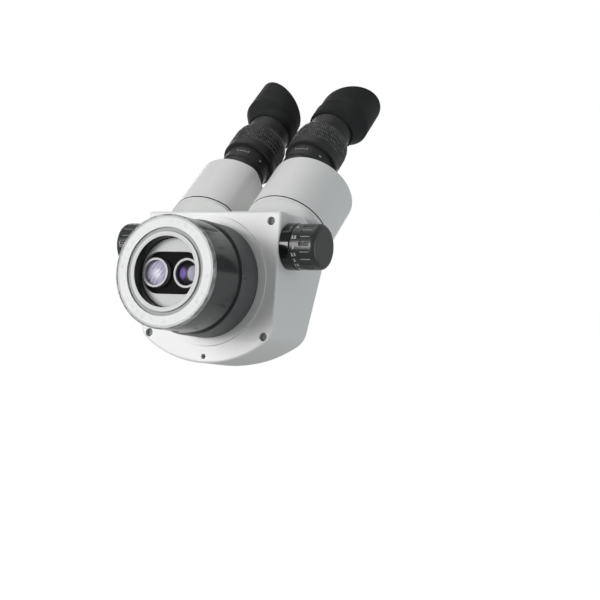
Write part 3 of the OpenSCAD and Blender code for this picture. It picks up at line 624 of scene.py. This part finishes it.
# %% [markdown]
# ## Printed marks
# The zoom scale is a row of plain numbers round each knob, and each eyepiece tube has a short line with a tick at
# both ends and a cross beside it. They are printed in white. A number starts as a font curve, is turned into a
# mesh, gets the thickness of a layer of ink, and is wrapped on the round surface.

# %% Ink, letters and wrapping
INK = 0.05 * MM
DIGIT_SHARE = 0.7
BOLDNESS = 0.035
make = Finish("printed_white")
worn = make.clouds(1800, 3)
printed = make.done(make.mix(worn, (0.74, 0.75, 0.74), (0.86, 0.86, 0.85)), worn * 0.2 + 0.4)


def letters(words, height):
    """A flat mesh of some words, centred on the origin, in metres."""
    curve = bpy.data.curves.new("letters", "FONT")
    curve.body = words
    curve.align_x = "CENTER"
    curve.align_y = "CENTER"
    curve.size = height * MM / DIGIT_SHARE
    curve.offset = BOLDNESS * height * MM
    curve.resolution_u = 3
    sample = bpy.data.objects.new("letters", curve)
    mesh = bmesh.new()
    flat = sample.to_mesh()
    mesh.from_mesh(flat)
    sample.to_mesh_clear()
    bpy.data.objects.remove(sample)
    bpy.data.curves.remove(curve)
    bmesh.ops.remove_doubles(mesh, verts=mesh.verts, dist=0.002 * MM)
    return mesh


def print_on(mesh, drum, radius, along, angle, upright):
    """Wraps flat marks on a drum, whose matrix has the axis as Z and angle 0 on its X.
    Upright marks have their X along the axis, and others their Y."""
    bmesh.ops.solidify(mesh, geom=mesh.faces[:], thickness=-INK)
    for v in mesh.verts:
        run, rise = (v.co.x, v.co.y) if upright else (v.co.y, -v.co.x)
        turn = angle - rise / radius
        out = radius + abs(v.co.z)
        v.co = drum @ Vector((out * math.cos(turn), out * math.sin(turn), along + run))
    bmesh.ops.recalc_face_normals(mesh, faces=mesh.faces)
    return mesh


def join(parts):
    whole = bmesh.new()
    for part in parts:
        spare = bpy.data.meshes.new("spare")
        part.to_mesh(spare)
        part.free()
        whole.from_mesh(spare)
        bpy.data.meshes.remove(spare)
    return whole


def frame_of(place, axis, zero):
    """The matrix of a drum at a place, with its axis and the direction of angle 0."""
    side = axis.cross(zero)
    turned = Matrix((zero, side, axis)).transposed().to_4x4()
    return Matrix.Translation(place) @ turned


# %% Numbers round the zoom knobs
KNOB_AXIS = Vector((0, -25, 15.5)) * MM
KNOB_RADIUS = 15.1 * MM
KNOB_START = 59
NUMBER_ROW = (KNOB_START + 2.4) * MM
NUMBER_HEIGHT = 2.0
ZOOM_MARKS = {"4.5": -84, "4": -50, "3.5": -17, "3": 9, "2.5": 27, "2": 43, "1.5": 59, "1": 77, "0.7": 95}
for side, outward in (("left", -1), ("right", 1)):
    drum = frame_of(KNOB_AXIS, Vector((outward, 0, 0)), Vector((0, 0, -1)))
    marks = []
    for words, degrees in ZOOM_MARKS.items():
        number = letters(words, NUMBER_HEIGHT)
        marks.append(print_on(number, drum, KNOB_RADIUS, NUMBER_ROW, math.radians(degrees), True))
    piece = add_piece(side + "_zoom_numbers", join(marks), "zoom_drive", "white_paint", finish=printed)
    print(piece.name, "faces:", len(piece.data.polygons))

# %% [markdown]
# ## Eyepiece scale and knurl
# Below each diopter ring the tube has its short white scale. The ring itself is cut with rows of short notches
# for grip. They are shown by the narrow ribs that are left between them: small bars with a rounded back, repeated
# round the ring in five rows. The lower end of the ring stays plain.

# %% The scale on the tubes
EYE_OFFSET = {"left": 5.2, "right": -5.2}
EYE_DROP = 12.5
TUBE_RADIUS = 16.8 * MM
SCALE_ROW = 57.5 * MM
SCALE_MIDDLE = {"left": math.radians(14), "right": math.radians(2)}
SCALE_HALF = math.radians(16)
CROSS_TURN = math.radians(52)
TICK_WIDTH, TICK_LENGTH, TICK_RISE = 0.22, 1.6, 0.9 * MM
LINE_WIDTH = 0.16
CROSS_WIDTH, CROSS_LENGTH = 0.3, 2.2


def eye_drum(side):
    """The drum of an eyepiece: its axis, with angle 0 on the underside."""
    place = SEAT_MIDDLE[side] + Vector((EYE_OFFSET[side], 0, 0)) - EYE_DROP * SEAT_SIDE
    return frame_of(place * MM, SEAT_AXIS, -SEAT_SIDE)


def bar(width, length):
    """A flat bar on the origin, with sizes in millimetres."""
    mesh = bmesh.new()
    bmesh.ops.create_grid(mesh, x_segments=1, y_segments=1, size=0.5)
    bmesh.ops.scale(mesh, vec=(width * MM, length * MM, 1), verts=mesh.verts)
    return mesh


def cut_long(mesh, longest, cuts):
    """Cuts the edges over a length in millimetres, so that a bar can bend."""
    edges = [e for e in mesh.edges if e.calc_length() > longest * MM]
    bmesh.ops.subdivide_edges(mesh, edges=edges, cuts=cuts)


def turn_flat(mesh, angle):
    bmesh.ops.rotate(mesh, matrix=Matrix.Rotation(angle, 3, "Z"), verts=mesh.verts)


for side in ("left", "right"):
    drum = eye_drum(side)
    middle = SCALE_MIDDLE[side]
    marks = []
    for angle in (middle - SCALE_HALF, middle + SCALE_HALF):
        tick = bar(TICK_WIDTH, TICK_LENGTH)
        marks.append(print_on(tick, drum, TUBE_RADIUS, SCALE_ROW + TICK_RISE, angle, False))
    line = bar(LINE_WIDTH, 2 * SCALE_HALF * TUBE_RADIUS / MM)
    cut_long(line, 5, 16)
    turn_flat(line, math.pi / 2)
    marks.append(print_on(line, drum, TUBE_RADIUS, SCALE_ROW, middle, False))
    for slant in (math.pi / 4, math.pi * 3 / 4):
        stroke = bar(CROSS_WIDTH, CROSS_LENGTH)
        cut_long(stroke, 1, 3)
        turn_flat(stroke, slant)
        marks.append(print_on(stroke, drum, TUBE_RADIUS, SCALE_ROW, middle + CROSS_TURN, False))
    add_piece(side + "_eyepiece_scale", join(marks), side + "_prism_body", "white_paint", finish=printed)

# %% The knurl on the diopter rings
make = Finish("patchy_knurl")
# The ribs are paler grey in cloudy patches.
pale_patches = make.clouds(500, 3).ramp(0.4, 0.62)
patchy_knurl = make.done(make.mix(pale_patches, (0.03, 0.03, 0.031), (0.21, 0.21, 0.208)), pale_patches * 0.1 + 0.35)
# Each row's place along the axis, and the radius of the ring there, in millimetres
KNURL_ROWS = {72.1: 19.42, 75.8: 19.42, 79.5: 19.42, 83.2: 19.4, 86.8: 18.82}
KNURL_COUNT = 90
RIB_SIZE = Vector((0.5, 0.45, 2.6)) * MM
RIB_ROUND = 0.14


def rib():
    """A short bar with rounded edges. Half its depth stands out of the ring."""
    mesh = bmesh.new()
    bmesh.ops.create_cube(mesh, size=1)
    bmesh.ops.scale(mesh, vec=RIB_SIZE, verts=mesh.verts)
    top = [e for e in mesh.edges if all(v.co.x > 0 for v in e.verts)]
    round_edges(mesh, top, RIB_ROUND, 1)
    return mesh


for side in ("left", "right"):
    drum = eye_drum(side)
    ribs = []
    for row, (along, radius) in enumerate(KNURL_ROWS.items()):
        for i in range(KNURL_COUNT):
            turn = Matrix.Rotation((i + 0.5 * (row % 2)) * 2 * math.pi / KNURL_COUNT, 4, "Z")
            one = rib()
            spot = Matrix.Translation((radius * MM, 0, along * MM))
            bmesh.ops.transform(one, matrix=drum @ turn @ spot, verts=one.verts)
            ribs.append(one)
    piece = add_piece(side + "_diopter_knurl", join(ribs), side + "_diopter", "black_metal", finish=patchy_knurl)
    print(piece.name, "faces:", len(piece.data.polygons))
